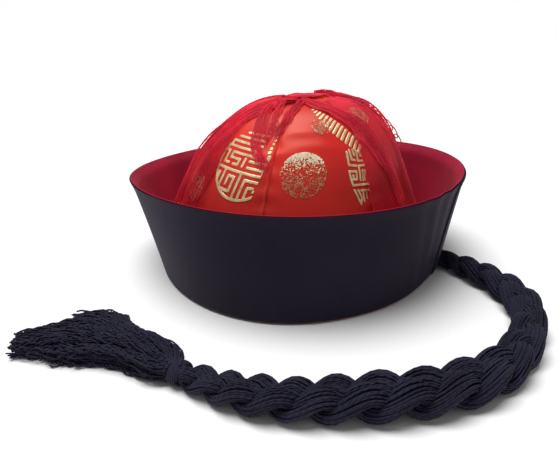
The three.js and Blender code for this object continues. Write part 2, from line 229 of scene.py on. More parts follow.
def new_finish(name, colour, roughness, **sockets):
    """A material with one Principled shader; returns it, its tree and the shader."""
    material = bpy.data.materials.new(name)
    material.use_nodes = True
    shader = material.node_tree.nodes["Principled BSDF"]
    shader.inputs["Base Color"].default_value = colour
    shader.inputs["Roughness"].default_value = roughness
    for key, value in sockets.items():
        shader.inputs[key.replace("_", " ")].default_value = value
    return material, material.node_tree, shader


def thread_tree():
    """Geometry Nodes that spin each line of a mesh into a round thread, with its turn and length kept."""
    tree = bpy.data.node_groups.new("spun thread", "GeometryNodeTree")
    face = tree.interface
    face.new_socket("Lines", in_out="INPUT", socket_type="NodeSocketGeometry")
    face.new_socket("Radius", in_out="INPUT", socket_type="NodeSocketFloat")
    face.new_socket("Sides", in_out="INPUT", socket_type="NodeSocketInt")
    face.new_socket("Thread", in_out="INPUT", socket_type="NodeSocketMaterial")
    face.new_socket("Threads", in_out="OUTPUT", socket_type="NodeSocketGeometry")
    given = add_node(tree, "NodeGroupInput").outputs
    curve = add_node(tree, "GeometryNodeMeshToCurve", {"Mesh": given["Lines"]})
    girth = add_node(tree, "GeometryNodeInputNamedAttribute", {"Name": "girth"}, data_type="FLOAT")
    radius = reckon(tree, "MULTIPLY", given["Radius"], girth.outputs[0])
    length = add_node(tree, "GeometryNodeSplineParameter").outputs["Length"]
    along = add_node(tree, "GeometryNodeStoreNamedAttribute",
                     {"Geometry": curve.outputs[0], "Name": "thread_along", "Value": length},
                     data_type="FLOAT", domain="POINT")
    ring = add_node(tree, "GeometryNodeCurvePrimitiveCircle", {"Resolution": given["Sides"], "Radius": 1.0})
    place = add_node(tree, "GeometryNodeInputPosition").outputs[0]
    turned = add_node(tree, "GeometryNodeStoreNamedAttribute",
                      {"Geometry": ring.outputs[0], "Name": "thread_turn", "Value": place},
                      data_type="FLOAT_VECTOR", domain="POINT")
    tube = add_node(tree, "GeometryNodeCurveToMesh",
                    {"Curve": along.outputs[0], "Profile Curve": turned.outputs[0], "Scale": radius,
                     "Fill Caps": True})
    smooth = add_node(tree, "GeometryNodeSetShadeSmooth", {"Geometry": tube.outputs[0]})
    real = add_node(tree, "GeometryNodeRealizeInstances", {"Geometry": smooth.outputs[0]})
    painted = add_node(tree, "GeometryNodeSetMaterial",
                       {"Geometry": real.outputs[0], "Material": given["Thread"]})
    add_node(tree, "NodeGroupOutput", {"Threads": painted.outputs[0]})
    return tree


spun_thread = thread_tree()


def spin(name, lines, radius, sides, material, girths=None):
    """One mesh piece of round threads along the given lines."""
    points = [p for line in lines for p in line]
    edges, first = [], 0
    for line in lines:
        edges += [(i, i + 1) for i in range(first, first + len(line) - 1)]
        first += len(line)
    strings = bpy.data.meshes.new(name + "_lines")
    strings.from_pydata([tuple(p) for p in points], edges, [])
    girth = strings.attributes.new("girth", "FLOAT", "POINT")
    girth.data.foreach_set("value", [g for row in girths for g in row] if girths else [1.0] * len(points))
    piece = bpy.data.objects.new(name, strings)
    scene.collection.objects.link(piece)
    spinning = piece.modifiers.new("spinning", "NODES")
    spinning.node_group = spun_thread
    for item in spun_thread.interface.items_tree:
        value = {"Radius": radius, "Sides": sides, "Thread": material}.get(item.name)
        if value is not None:
            spinning[item.identifier] = value
    return made_plain(piece)


def made_plain(piece):
    """Turns a piece's evaluated modifiers into its plain mesh and removes them."""
    bpy.context.view_layer.update()
    seen = piece.evaluated_get(bpy.context.evaluated_depsgraph_get())
    plain = bpy.data.meshes.new_from_object(seen)
    piece.modifiers.clear()
    piece.data = plain
    return piece


def yarn_finish(name, colour, pitch):
    """Soft plied yarn: the plies turn round each yarn, and its fibres catch a little light."""
    material, tree, shader = new_finish(
        name, colour, roughness=0.85, Sheen_Weight=0.06, Sheen_Roughness=0.5, Sheen_Tint=(0.55, 0.58, 0.8, 1),
        Specular_IOR_Level=0.18)
    turn = add_node(tree, "ShaderNodeAttribute", attribute_name="thread_turn")
    along = add_node(tree, "ShaderNodeAttribute", attribute_name="thread_along")
    parts = add_node(tree, "ShaderNodeSeparateXYZ", {0: turn.outputs["Vector"]})
    angle = reckon(tree, "ARCTAN2", parts.outputs["Y"], parts.outputs["X"])
    plies = reckon(tree, "MULTIPLY", angle, 2.0)
    rolled = reckon(tree, "MULTIPLY_ADD", along.outputs["Fac"], math.tau / pitch, plies)
    fibres = noise_texture(tree, object_place(tree), scale=2600.0, detail=2.0)
    height = reckon(tree, "MULTIPLY_ADD", fibres, 0.8, reckon(tree, "SINE", rolled))
    shade = cloudy(tree, scale=90.0, detail=3.0,
                   low=(0.3, toned(colour, 0.72)), high=(0.75, toned(colour, 1.4)))
    dress(tree, shader, height, strength=0.6, distance=0.0002, colour=shade)
    return material


black_yarn = yarn_finish("black yarn", YARN_BLACK, PLY_PITCH)
yarn_luck = random.Random(41)


def strand_ring(strand, along):
    """A strand's centre, the two directions across it, and its half sizes."""
    centre = strand_centre(strand, along)
    low, high = max(along - STRAND_STEP, 0), min(along + STRAND_STEP, PLAIT_LENGTH)
    heading = (strand_centre(strand, high) - strand_centre(strand, low)).normalized()
    left = Vector((0, 0, 1)).cross(heading).normalized()
    width, thick, _ = plait_section(along)
    return centre, left, heading.cross(left), width * STRAND_HALF_WIDTH, thick * STRAND_HALF_THICK


yarn_lines = []
yarn_girths = []
for strand in range(STRANDS):
    spots = [strand_ring(strand, a) for a in np.linspace(0, PLAIT_LENGTH, int(PLAIT_LENGTH / YARN_STEP))]
    yarn_lines.append([centre for centre, *_ in spots])
    yarn_girths.append([CORE_SHARE * min(wide, thick) / YARN_RADIUS for *_, wide, thick in spots])
    for yarn in range(YARNS_PER_STRAND):
        drift = yarn_luck.uniform(0, 50)
        line = []
        for i, (centre, left, up, wide, thick) in enumerate(spots):
            along = i * YARN_STEP
            wander = wobble(drift, along * WANDER_RATE, strand)
            angle = math.tau * yarn / YARNS_PER_STRAND + YARN_TWIST * along + YARN_WANDER * wander
            deep = 1 + YARN_DEPTH * wobble(along * DEPTH_RATE, drift, strand)
            line.append(centre + left * math.cos(angle) * (wide - YARN_RADIUS) * deep
                        + up * math.sin(angle) * (thick - YARN_RADIUS) * deep)
        root = line[0] - (line[1] - line[0]).normalized() * ROOT_LENGTH
        root.z = max(root.z, FLOOR_CLEARANCE + ROOT_CLEARANCE)
        line.insert(0, root)
        yarn_lines.append(line)
        yarn_girths.append([yarn_luck.uniform(*GIRTH_RANGE)] * len(line))

plait = spin("queue_plait", yarn_lines, YARN_RADIUS, YARN_SIDES, black_yarn, yarn_girths)
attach(plait, "root")
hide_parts("braid_strand_1", "braid_strand_2", "braid_strand_3")

# The queue's tie
# A length of the same yarn, wound six times round the plait's end and tucked under itself in a small knot.
TIE_START = PLAIT_LENGTH + HAIR_GAP
TIE_LENGTH = 0.0066
TIE_WIDTH = 0.0125
TIE_THICK = 0.0105
TIE_TURNS = 6
TIE_YARN = 0.0006
TIE_STEPS = 26
TIE_BELLY = 0.1
TIE_SIDES = 8
# The tucked end lies over the windings: its first turn, how far round it goes, its height and its extent
TUCK_TURN = 0.196
TUCK_ROUND = 0.168
TUCK_LIFT = 0.0011
TUCK_SHARES = np.linspace(0.1, 0.95, 9)


def tie_point(turn, out):
    """A point of the winding, a given number of turns on and a little way out from the plait."""
    angle = math.tau * turn
    share = turn / TIE_TURNS
    belly = 1 - TIE_BELLY * (2 * share - 1) ** 2
    side = (TIE_WIDTH / 2 - TIE_YARN + out) * belly * math.cos(angle)
    height = FLOOR_CLEARANCE + TIE_THICK / 2 + (TIE_THICK / 2 - TIE_YARN + out) * belly * math.sin(angle)
    return beside_queue(TIE_START + TIE_YARN + share * (TIE_LENGTH - 2 * TIE_YARN), side, height)


winding = [tie_point(i / TIE_STEPS, 0) for i in range(TIE_TURNS * TIE_STEPS + 1)]
tie_core = [beside_queue(TIE_START + TIE_LENGTH * t, 0, FLOOR_CLEARANCE + TIE_THICK / 2) for t in (0, 0.5, 1)]
tuck = [tie_point(TUCK_TURN + TUCK_ROUND * t, TUCK_LIFT) + (tie_point(TIE_TURNS - 1, 0) - tie_point(0, 0)) * t
        for t in TUCK_SHARES]
tie_girth = (TIE_THICK / 2 - TIE_YARN) / TIE_YARN
tie = spin("queue_tie", [winding, tie_core, tuck], TIE_YARN, TIE_SIDES, black_yarn,
           [[1] * len(winding), [tie_girth] * len(tie_core), [1] * len(tuck)])
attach(tie, "root")
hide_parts("braid_tie")

# The queue's loose end
# Past the tie the yarns fall free. They keep the crimp of the plait, fan out over the table in locks, and the
# ends curl back on themselves in small loops.
TASSEL_START = PLAIT_LENGTH + TIE_LENGTH + HAIR_GAP
LOOSE_YARNS = 640
LOOSE_RADIUS = 0.00042
LOOSE_POINTS = 37
TASSEL_SIDE = (-0.037, 0.0175)
TASSEL_HEIGHT = 0.0148
HEIGHT_LOST = 0.55
ROOT_SHARES = (0.44, 0.42)
SETTLE_SHARE = 0.33
NOTCH_LANE = 0.3
NOTCH_REACH = 0.74
FAR_LANE = 0.75
TIP_RAGGED = 0.26
# How far the loose yarns have fanned out, on the far and on the near side, at shares of the tassel's length
FAN_SHARES = np.array([
    (0, 0, 0), (0.05, 0.17, 0.21), (0.10, 0.245, 0.35), (0.15, 0.28, 0.42), (0.20, 0.295, 0.44),
    (0.27, 0.315, 0.42), (0.36, 0.35, 0.43), (0.43, 0.44, 0.51), (0.50, 0.60, 0.58), (0.60, 0.71, 0.67),
    (0.74, 0.73, 0.65), (1, 0.60, 0.36),
])
CRIMP_LENGTH = 0.011
CRIMP_SIZE = 0.0008
CRIMP_RANGE = (0.75, 1.35)
CURL_SIZE = 0.0034
CURL_START = 0.72
CURL_TURN = 5.2
LOOSE_GIRTHS = (0.8, 1.15)
LOOSE_SIDES = 4


def loose_yarn(luck):
    """One loose yarn: out of the tie, fanning to its own place, crimped, and curled at its tip."""
    lane = luck.uniform(0, 1)
    side_end = TASSEL_SIDE[0] + (TASSEL_SIDE[1] - TASSEL_SIDE[0]) * lane
    longest = NOTCH_REACH if lane < NOTCH_LANE else 1 - max(0, lane - FAR_LANE)
    reach = longest * (1 - TIP_RAGGED * luck.random() ** 2)
    top = TASSEL_HEIGHT * (0.78 + 0.22 * math.sin(math.pi * min(1, lane * 1.1)))
    level = luck.random()
    angle, spread = luck.uniform(0, math.tau), math.sqrt(luck.random())
    root_side = spread * math.cos(angle) * TIE_WIDTH * ROOT_SHARES[0]
    root_height = FLOOR_CLEARANCE + TIE_THICK / 2 + spread * math.sin(angle) * TIE_THICK * ROOT_SHARES[1]
    phase, wave = luck.uniform(0, math.tau), luck.uniform(*CRIMP_RANGE)
    curl, curl_way = luck.random() ** 1.5 * CURL_SIZE, luck.choice((-1, 1))
    length = queue_length - TASSEL_START
    lowest = LOOSE_RADIUS + FLOOR_CLEARANCE
    line = []
    for t in np.linspace(0, 1, LOOSE_POINTS):
        reached = t * reach
        far, near = on_line(FAN_SHARES[:, 1:], FAN_SHARES[:, 0], reached)
        fan = far + (near - far) * lane
        settle = soft_step(t / SETTLE_SHARE)
        crimp = CRIMP_SIZE * min(1, 3 * t) * (0.7 + 0.6 * t)
        turn = phase + math.tau * reached * length / CRIMP_LENGTH / wave
        tip = max(0, (t - CURL_START) / (1 - CURL_START))
        loop, bend = curl * tip, curl_way * tip * CURL_TURN + phase
        side = root_side * (1 - settle) + side_end * fan + crimp * math.cos(turn) + loop * math.sin(bend)
        rest = lowest + level * (top - 2 * LOOSE_RADIUS) * (1 - HEIGHT_LOST * t * reached)
        height = root_height * (1 - settle) + rest * settle + 0.6 * crimp * math.sin(turn)
        forward = reached * length + loop * (math.cos(bend) - 1)
        line.append(beside_queue(TASSEL_START + forward, side, max(height, lowest)))
    return line


loose_luck = random.Random(7)
loose_lines = [loose_yarn(loose_luck) for _ in range(LOOSE_YARNS)]
loose_girths = [[loose_luck.uniform(*LOOSE_GIRTHS)] * len(line) for line in loose_lines]
tassel = spin("queue_loose_end", loose_lines, LOOSE_RADIUS, LOOSE_SIDES, black_yarn, loose_girths)
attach(tassel, "root")
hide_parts("braid_tassel")

middle_line = [beside_queue(along, 0, FLOOR_CLEARANCE + plait_section(along)[1] / 2)
               for along in np.linspace(0, PLAIT_LENGTH, 91)]
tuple(middle_line[0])

# The band's shell
# A flared strip of stiffened black cotton that stands up round the crown. Its ends lap over each other beside
# the queue, and its edges are turned in.
BAND_CENTRE = Vector((0.0044, 0.0019))
RIM_CENTRE = Vector((0.0014, 0.0035))
BAND_RADIUS = 0.096
RIM_RADIUS = 0.1062
BAND_SLANT = 0.0604
BAND_CLOTH = 0.0016
# Turns, then the cosine and sine shares at the bottom edge, then the same at the rim
OUTLINE_WAVES = [(2, -0.0151, 0.0196, 0.0193, -0.0218), (3, 0.0021, 0.0323, -0.0101, 0.0322)]
LAP_ANGLE = math.radians(-30)
LAP_STEP = 0.0008
LAP_FADE = math.radians(22)
HEM_HEIGHT = 0.0007
GAP = 0.00032
BAND_COLUMNS = 336
BAND_ROWS = 26
EDGE_STEPS = 4
LAP_CROWDING = 0.96
LAP_CROWDED = math.radians(5)
DENT_SIZE = 0.0006
DENTS_ROUND = 2.1
DENTS_UP = 0.9
ROLL_START = 0.86
ROLL_SIZE = 0.0010
LIP_THINNING = 0.6
LIP_START = 0.93
# The drag lines: their height, their middle and reach before the lap, their lean and how close they stand
DRAG_SIZE = 0.0005
DRAG_MIDDLE = 0.22
DRAG_REACH = 0.16
DRAG_LEAN = 0.1
DRAG_RATE = 42
CLOTH_BLACK = (0.0140, 0.0106, 0.0228, 1)


def outline_radius(radius, first, angle):
    stretch = 1
    for wave in OUTLINE_WAVES:
        turned = wave[0] * angle
        stretch += wave[first] * math.cos(turned) + wave[first + 1] * math.sin(turned)
    return radius * stretch


def edge_radius(angle):
    return outline_radius(BAND_RADIUS, 1, angle)


def rim_radius(angle):
    return outline_radius(RIM_RADIUS, 3, angle)


def band_point(angle, level, depth):
    """A point of the band: level 0 is its bottom edge and 1 its rim, and depth is measured inwards."""
    way = Vector((math.cos(angle), math.sin(angle)))
    edge = edge_radius(angle)
    flare = RIM_CENTRE - BAND_CENTRE + (rim_radius(angle) - edge) * way
    height = math.sqrt(BAND_SLANT ** 2 - flare.length_squared)
    flat = BAND_CENTRE + (edge - depth) * way + flare * level
    return Vector((flat.x, flat.y, height * level))


def past_lap(angle):
    """How far an angle lies beyond the lap's edge, counterclockwise."""
    return (angle - LAP_ANGLE) % math.tau


def band_relief(angle, level):
    """Soft dents of the cloth, and the drag lines that lean towards the lap."""
    dent = DENT_SIZE * wobble(math.cos(angle) * DENTS_ROUND, math.sin(angle) * DENTS_ROUND, level * DENTS_UP)
    before = (LAP_ANGLE - angle) % math.tau
    drag = DRAG_SIZE * math.exp(-((before - DRAG_MIDDLE) / DRAG_REACH) ** 2)
    return dent + drag * math.sin((before - DRAG_LEAN * level) * DRAG_RATE) * (0.3 + 0.7 * level)


def lip_shift(level):
    """How far the cloth is pressed thin and outwards at the rim, as a share of the shell's thickness."""
    return LIP_THINNING * soft_step((level - LIP_START) / (1 - LIP_START))


def rim_roll(level):
    """How far the rim curls outwards."""
    return ROLL_SIZE * max(0, (level - ROLL_START) / (1 - ROLL_START)) ** 2


def lap_thickness(angle):
    return LAP_STEP * max(0, 1 - past_lap(angle) / LAP_FADE)


def turned_edge(outer, inner, low, high):
    """A closed strip section of depths and levels, with both of its edges rolled."""
    half = (inner - outer) / 2
    bend = half / BAND_SLANT
    climbs = [(high - low - 2 * bend) * row / BAND_ROWS for row in range(BAND_ROWS + 1)]
    turns = [math.pi * step / EDGE_STEPS for step in range(1, EDGE_STEPS)]
    section = [(outer, low + bend + climb) for climb in climbs]
    section += [(outer + half - half * math.cos(turn), high - bend + bend * math.sin(turn)) for turn in turns]
    section += [(inner, high - bend - climb) for climb in climbs]
    section += [(inner - half + half * math.cos(turn), low + bend - bend * math.sin(turn)) for turn in turns]
    return section


def strip_faces(columns, rows, closed, cloth_place):
    """Faces between columns of points, each column a closed ring, and their corners' places on the cloth."""
    faces, corners = [], []
    for column in range(columns if closed else columns - 1):
        for row in range(rows):
            around = ((column, row), (column + 1, row), (column + 1, row + 1), (column, row + 1))
            faces.append([c % columns * rows + r % rows for c, r in around])
            corners += [cloth_place(c, r) for c, r in around]
    return faces, corners


def new_piece(name, points, faces, material, corners=()):
    """A smooth mesh piece, with a cloth map in metres where the corners' places on the cloth are given."""
    mesh = bpy.data.meshes.new(name)
    mesh.from_pydata([tuple(p) for p in points], [], faces)
    if corners:
        cloth_map = mesh.uv_layers.new(name="cloth_map")
        cloth_map.data.foreach_set("uv", [c for corner in corners for c in corner])
    mesh.shade_smooth()
    mesh.materials.append(material)
    piece = bpy.data.objects.new(name, mesh)
    scene.collection.objects.link(piece)
    return piece


def closed_band(name, section, place, material):
    """A ring of cloth: the section carried round the hat."""
    points = [place(angle, depth, level) for angle in band_angles for depth, level in section]
    columns, rows = len(band_angles), len(section)

    def cloth_place(column, row):
        return math.tau * column / columns * BAND_RADIUS, section[row % rows][1] * BAND_SLANT

    faces, corners = strip_faces(columns, rows, True, cloth_place)
    return new_piece(name, points, faces, material, corners)


def weave_finish(name, colour, roughness, pitch, slub, **sockets):
    """Woven cloth: crossing threads in relief, cloudy in colour, with rubbed and fibrous threads."""
    material, tree, shader = new_finish(name, colour, roughness, **sockets)
    where = add_node(tree, "ShaderNodeUVMap", uv_map="cloth_map").outputs[0]
    split = add_node(tree, "ShaderNodeSeparateXYZ", {0: where}).outputs
    turns = [reckon(tree, "MULTIPLY", split[axis], math.tau / pitch) for axis in ("X", "Y")]
    woven = reckon(tree, "MULTIPLY", *(reckon(tree, "SINE", turn) for turn in turns))
    fibre = noise_texture(tree, object_place(tree), scale=1500.0, detail=3.0)
    height = reckon(tree, "MULTIPLY_ADD", fibre, slub, woven)
    shade = cloudy(tree, scale=28.0, detail=4.0,
                   low=(0.32, toned(colour, 0.82)), high=(0.7, toned(colour, 1.2)))
    dress(tree, shader, height, strength=0.35, distance=pitch / 4, colour=shade)
    return material


def crowded_angles():
    """Angles round the hat, drawn close together on both sides of the lap so that its edge is crisp."""
    angles = []
    for column in range(BAND_COLUMNS):
        past = math.tau * (column + 0.5) / BAND_COLUMNS - math.pi
        angles.append(LAP_ANGLE + past * (1 - LAP_CROWDING * math.exp(-(past / LAP_CROWDED) ** 4)))
    return angles


def shell_point(angle, depth, level):
    outer = 1 - min(1, depth / BAND_CLOTH)
    pressed = depth * (1 - lip_shift(level))
    out = lap_thickness(angle) * outer + rim_roll(level) + band_relief(angle, level)
    return band_point(angle, level, pressed - out)


black_cloth = weave_finish(
    "black band cloth", CLOTH_BLACK, roughness=0.72, pitch=0.00055, slub=0.7, Sheen_Weight=0.1,
    Sheen_Roughness=0.4, Sheen_Tint=(0.75, 0.6, 0.85, 1), Specular_IOR_Level=0.12)
band_angles = crowded_angles()
hem_level = (HEM_HEIGHT + GAP) / BAND_SLANT
shell = closed_band("band_shell", turned_edge(0, BAND_CLOTH, hem_level, 1), shell_point, black_cloth)
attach(shell, "root")
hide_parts("brim_shell")

# The band's lining
# Dark red cotton inside the band. Its top edge is rolled over the shell's and shows as a thin bright line.
LINING_CLOTH = 0.0012
LINING_GAP = 0.00055
LINING_RISE = 0.0006
LINING_PRESSED = 0.8
LINING_RED = (0.385, 0.0115, 0.044, 1)


def lining_point(angle, depth, level):
    own = depth - BAND_CLOTH - LINING_GAP
    out = (own * LINING_PRESSED + BAND_CLOTH) * lip_shift(level) + rim_roll(level) + band_relief(angle, level)
    return band_point(angle, level, depth - out)


lining_depth = BAND_CLOTH + LINING_GAP
lining_top = 1 + LINING_RISE / BAND_SLANT
lining_section = turned_edge(lining_depth, lining_depth + LINING_CLOTH, hem_level, lining_top)
red_lining = weave_finish(
    "red lining cloth", LINING_RED, roughness=0.62, pitch=0.0005, slub=0.6, Sheen_Weight=0.12,
    Sheen_Roughness=0.4, Sheen_Tint=(1, 0.35, 0.4, 1), Specular_IOR_Level=0.15)
lining = closed_band("band_lining", lining_section, lining_point, red_lining)
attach(lining, "root")
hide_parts("brim_lining")

# The crown's gores
# Six panels of red satin sewn edge to edge into a dome that slumps a little. They pucker along the seams, and
# at the bottom each is turned out under the band as a narrow hem.
CROWN_HEIGHT = 0.104
CROWN_CLOTH = 0.0013
CROWN_INSET = 0.004
SIDE_POWER = 2 / 3.309
RISE_POWER = 2 / 0.892
CROWN_LEAN = Vector((0.0052, -0.0064))
CROWN_SLUMP = 0.065
CROWN_EASE = 1.6
CROWN_END = 0.9993
GORE_PUFF = 0.0016
PUFF_FLATNESS = 6
PUFF_END = 0.9
SEAMS = [-106, -56, 6, 68, 130, 192, 254]
GORE_LENGTH = 0.15
GORE_COLUMNS = 40
GORE_ROWS = 110
COLUMN_CROWDING = 0.11
SEAM_GAP = 0.015
PUCKER_SIZE = 0.00042
PUCKER_LENGTH = 0.0085
PUCKER_REACH = 0.10
PUCKER_LEAN = 9
SATIN_FOLD = 0.0011
FOLDS_ROUND = 1.5
FOLDS_UP = 6.5
SEAM_RIDGE = 0.0014
RIDGE_REACH = 0.013
# The hem below the band: how far in it lies, where and how far round it shows most, its fold and its end
HEM_TUCK = 0.0022
HEM_SHOWING = math.radians(-52)
SHOWING_REACH = math.radians(24)
HEM_FOLD = 0.0003
HEM_END = 0.0036
# Slack folds of the front panel: the angle and rise of the middle, the height, the reach down and round
SLACK_FOLDS = [
    (-92, 0.775, 0.0010, 0.014, 15), (-88, 0.722, 0.0008, 0.018, 19), (-100, 0.70, 0.0006, 0.012, 8),
]
FOLD_BEND = 0.00004
SATIN_RED = (0.62, 0.02, 0.018, 1)


def across_gore(angle):
    """How far across its gore an angle lies, from 0 at one seam to 1 at the next."""
    turned = SEAMS[0] + (math.degrees(angle) - SEAMS[0]) % 360
    for low, high in zip(SEAMS, SEAMS[1:]):
        if turned < high:
            return (turned - low) / (high - low)
    return 1


def crown_radius(angle, rise, height):
    side = max(math.cos(rise * math.pi / 2), 0) ** SIDE_POWER
    base = edge_radius(angle) * (1 - height) + BAND_RADIUS * height - CROWN_INSET
    return base * side * (1 - CROWN_SLUMP * 4 * height * (1 - height) * math.cos(angle))


def crown_height(rise):
    return math.sin(min(rise, 1) * math.pi / 2) ** RISE_POWER


def satin_relief(angle, rise):
    """Puckers along the seams, and the soft sideways folds of slack satin."""
    across = across_gore(angle)
    edge = min(across, 1 - across)
    waves = math.sin(math.tau * rise * GORE_LENGTH / PUCKER_LENGTH + PUCKER_LEAN * edge)
    pucker = math.exp(-(edge / PUCKER_REACH) ** 2) * waves
    fold = wobble(math.cos(angle) * FOLDS_ROUND, math.sin(angle) * FOLDS_ROUND, rise * FOLDS_UP)
    fold *= math.sin(math.pi * min(1, rise * 1.05)) ** 2 * (1 - (2 * across - 1) ** 4)
    slack = SEAM_RIDGE * math.exp(-(edge / RIDGE_REACH) ** 2) * math.sin(math.pi * rise)
    for middle, level, size, down, about in SLACK_FOLDS:
        turned = (math.degrees(angle) - middle + 180) % 360 - 180
        bent = (rise - level + FOLD_BEND * turned * turned) / down
        slack += size * math.exp(-bent * bent - (turned / about) ** 2)
    return slack + PUCKER_SIZE * pucker * math.sin(math.pi * rise) + SATIN_FOLD * fold


def crown_point(angle, rise, offset, relief=True):
    """A point of the crown, its offset measured outwards from the satin's sewn line."""
    height = crown_height(rise)
    flat = abs(2 * across_gore(angle) - 1) ** PUFF_FLATNESS
    out = offset - GORE_PUFF * flat * math.sin(math.pi * rise * PUFF_END)
    if relief:
        out += satin_relief(angle, rise)
    slope = height ** 3
    radius = crown_radius(angle, rise, height) + out * (1 - slope)
    centre = BAND_CENTRE + CROWN_LEAN * height ** 2
    return Vector((centre.x + radius * math.cos(angle), centre.y + radius * math.sin(angle),
                   CROWN_HEIGHT * height + out * slope))


def gore_column(angle):
    """One line of a panel from its hem's foot up the outside and down the inside, as points."""
    line = []
    foot = CROWN_INSET + CROWN_CLOTH
    edge = HEM_TUCK * (1 - 0.8 * math.exp(-((angle - HEM_SHOWING) / SHOWING_REACH) ** 2))
    for depth, height in ((foot, 0), (edge + HEM_FOLD, 0), (edge, HEM_FOLD), (edge + HEM_FOLD, HEM_HEIGHT),
                          (HEM_END, HEM_HEIGHT)):
        point = band_point(angle, 0, depth)
        line.append(Vector((point.x, point.y, height)))
    for side in (0, 1):
        for row in range(GORE_ROWS + 1):
            climb = row / GORE_ROWS if side == 0 else 1 - row / GORE_ROWS
            rise = CROWN_END * (1 - (1 - climb) ** CROWN_EASE)
            point = crown_point(angle, rise, -CROWN_CLOTH * side)
            point.z = max(point.z, HEM_HEIGHT + GAP if side == 0 else HEM_HEIGHT)
            line.append(point)
    return line


def satin_gore(name, low, high, material):
    """One panel between two seams, its columns crowded towards the seams and its sides closed."""
    columns = []
    for column in range(GORE_COLUMNS + 1):
        share = column / GORE_COLUMNS
        eased = share - COLUMN_CROWDING * math.sin(math.tau * share)
        columns.append(math.radians(low + SEAM_GAP + (high - low - 2 * SEAM_GAP) * eased))
    lines = [gore_column(angle) for angle in columns]
    count = len(lines[0])

    def cloth_place(column, row):
        return columns[column] * BAND_RADIUS, row / GORE_ROWS * GORE_LENGTH

    faces, corners = strip_faces(len(columns), count, False, cloth_place)
    for column, way in ((0, -1), (GORE_COLUMNS, 1)):
        for row in range(count // 2 - 1):
            ring = [column * count + i for i in (row, row + 1, count - 2 - row, count - 1 - row)]
            if len(set(ring)) == len(ring):
                faces.append(ring[::way])
                corners += [cloth_place(column, r) for r in range(len(ring))]
    return new_piece(name, [p for line in lines for p in line], faces, material, corners)


def satin_finish():
    """Satin: long floats that shine along the cloth, a faint bloom, and painted shade: its red darkens towards
    the band and lightens a little near the top.
    """
    material, tree, shader = new_finish(
        "red satin", SATIN_RED, roughness=0.42, Sheen_Weight=0.04, Sheen_Roughness=0.35,
        Sheen_Tint=(1, 0.55, 0.4, 1), Anisotropic=0.5, Specular_IOR_Level=0.45, Specular_Tint=(1, 0.72, 0.5, 1))
    where = add_node(tree, "ShaderNodeUVMap", uv_map="cloth_map").outputs[0]
    drawn = add_node(tree, "ShaderNodeMapping", {"Vector": where, "Scale": (120.0, 2400.0, 1.0)}).outputs[0]
    floats = noise_texture(tree, drawn, scale=1.0, detail=3.0)
    shade = cloudy(tree, scale=22.0, detail=3.0,
                   low=(0.3, toned(SATIN_RED, 0.88)), high=(0.72, toned(SATIN_RED, 1.14)))
    # Painted shade and light by height: the red is multiplied by 0.6 low down by the band, where it lies in
    # shade, rising to 1.08 near the top, where the overhead light falls.
    height = add_node(tree, "ShaderNodeSeparateXYZ", {0: object_place(tree)}).outputs["Z"]
    deep = add_node(tree, "ShaderNodeMapRange", {"Value": height, "From Min": 0.035, "From Max": 0.082,
                                                 "To Min": 0.6, "To Max": 1.08}).outputs[0]
    shade_painted_satin = add_node(tree, "ShaderNodeVectorMath", {0: shade, 1: deep}, operation="MULTIPLY").outputs[0]
    dress(tree, shader, floats, strength=0.22, distance=0.00015, colour=shade_painted_satin)
    return material


red_satin = satin_finish()
for number, (low, high) in enumerate(zip(SEAMS, SEAMS[1:]), 1):
    gore = satin_gore(f"satin_gore_{number}", low, high, red_satin)
    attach(gore, "root")
    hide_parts(f"crown_gore_{number}")

# The gold foil
# Thin gold pressed on the satin: round fret medallions, leafy roundels and short bars. Where a motif meets a
# seam it is cut off. The roundels' foil thins towards the foot, and the front roundel is painted paler at its
# top and browner at its foot, as a painted highlight and painted shade.
FOIL_LIFT = 0.00018
FOIL_THICK = 0.00008
FOIL_CELL = 0.00042
FRET_PITCH = 0.0031
FRET_WIDTH = 0.00158
MEDALLION_RADIUS = 0.0217
ROUNDEL_RADIUS = 0.0127
FINE_CELL = 0.00026
CROWN_STEP = 0.01
EVERYWHERE = (-400, 400)
# How ragged the foil's edges are, each a depth and a size of blotch
FRET_RAGGED = (0.0001, 0.0012)
BAR_RAGGED = (0.00012, 0.001)
ROUNDEL_RAGGED = (0.00008, 0.0016)
# The roundel's leaves: width and height, the size and amount of their curl, and the size of worn patches
LEAF_WIDE = 0.00075
LEAF_HIGH = 0.001
CURL_SPAN = 0.0019
CURL_AMOUNT = 1.4
LEAF_DEPTH = 0.0004
WORN_PATCH = 0.0035
# The foil's own gold; a paler gold painted as a highlight over the front roundel's top; and a brown that is the
# worn small roundels' own tone and painted shade at the front roundel's foot.
FOIL_GOLD = (0.93, 0.75, 0.42, 1)
HIGHLIGHT_GOLD = (1, 0.92, 0.67, 1)
WORN_AND_SHADED_GOLD = (0.54, 0.22, 0.11, 1)
